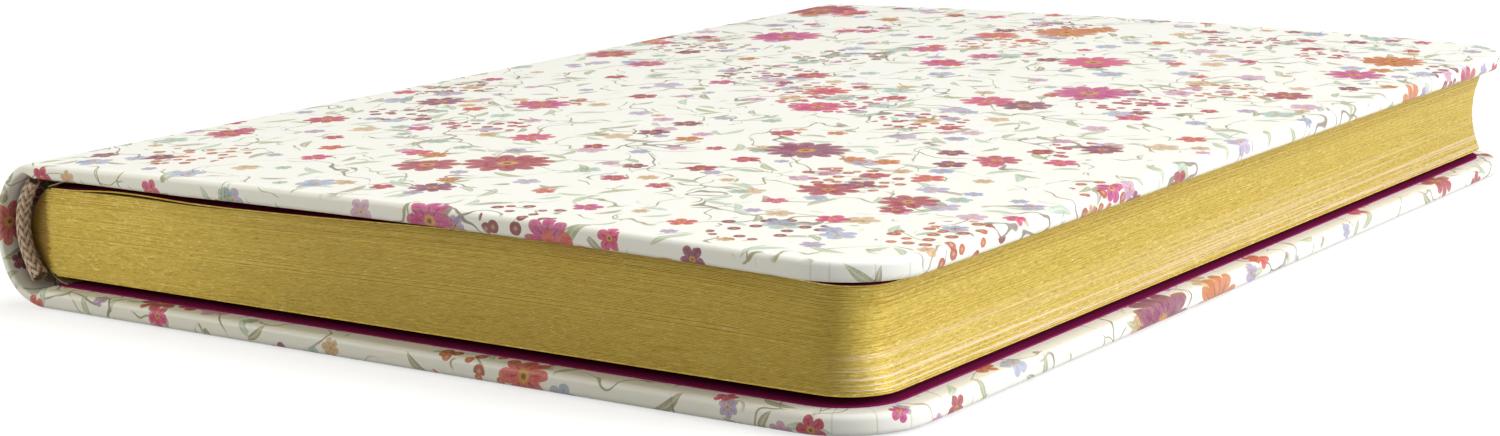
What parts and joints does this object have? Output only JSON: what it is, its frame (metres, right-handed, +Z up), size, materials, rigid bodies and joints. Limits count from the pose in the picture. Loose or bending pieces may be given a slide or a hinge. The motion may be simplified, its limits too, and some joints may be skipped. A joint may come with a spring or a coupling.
{
  "type": "hardcover journal",
  "caption": "Closed pocket journal with a round spine, two board covers on hinged joints, gilded pages, magenta endpapers and woven head and tail bands.",
  "frame": {"origin": "middle of the journal's outline on the table that it lies on", "axes": "+X from the spine to the fore-edge, +Y from the tail to the head, +Z up through the rear cover to the front cover"},
  "size_m": [0.127, 0.178, 0.0186],
  "materials": {
    "gilded_pages": "paper leaves with gold on the three cut edges",
    "mull_cloth": "open cotton cloth, glued",
    "lining_paper": "brown kraft paper",
    "band_cord": "braided beige-pink thread",
    "endpaper": "matt magenta paper",
    "greyboard": "grey pulp board",
    "cover_paper": "smooth satin paper, printed"
  },
  "bodies": {
    "book_block": {"text_block": "gilded_pages", "mull": "mull_cloth", "back_lining": "lining_paper", "head_band": "band_cord", "tail_band": "band_cord", "front_flyleaf": "endpaper", "rear_flyleaf": "endpaper", "spine_strip": "greyboard", "spine_paper": "cover_paper"},
    "front_cover": {"front_board": "greyboard", "front_cover_paper": "cover_paper", "front_pastedown": "endpaper"},
    "rear_cover": {"rear_board": "greyboard", "rear_cover_paper": "cover_paper", "rear_pastedown": "endpaper"}
  },
  "joints": [
    {"name": "front_joint", "type": "hinge", "parent": "book_block", "child": "front_cover", "pos_m": [-0.0594, 0, 0.0163], "axis": [0, -1, 0], "range_deg": [0, 180]},
    {"name": "rear_joint", "type": "hinge", "parent": "book_block", "child": "rear_cover", "pos_m": [-0.0594, 0, 0.0015], "axis": [0, 1, 0], "range_deg": [0, 180]}
  ]
}
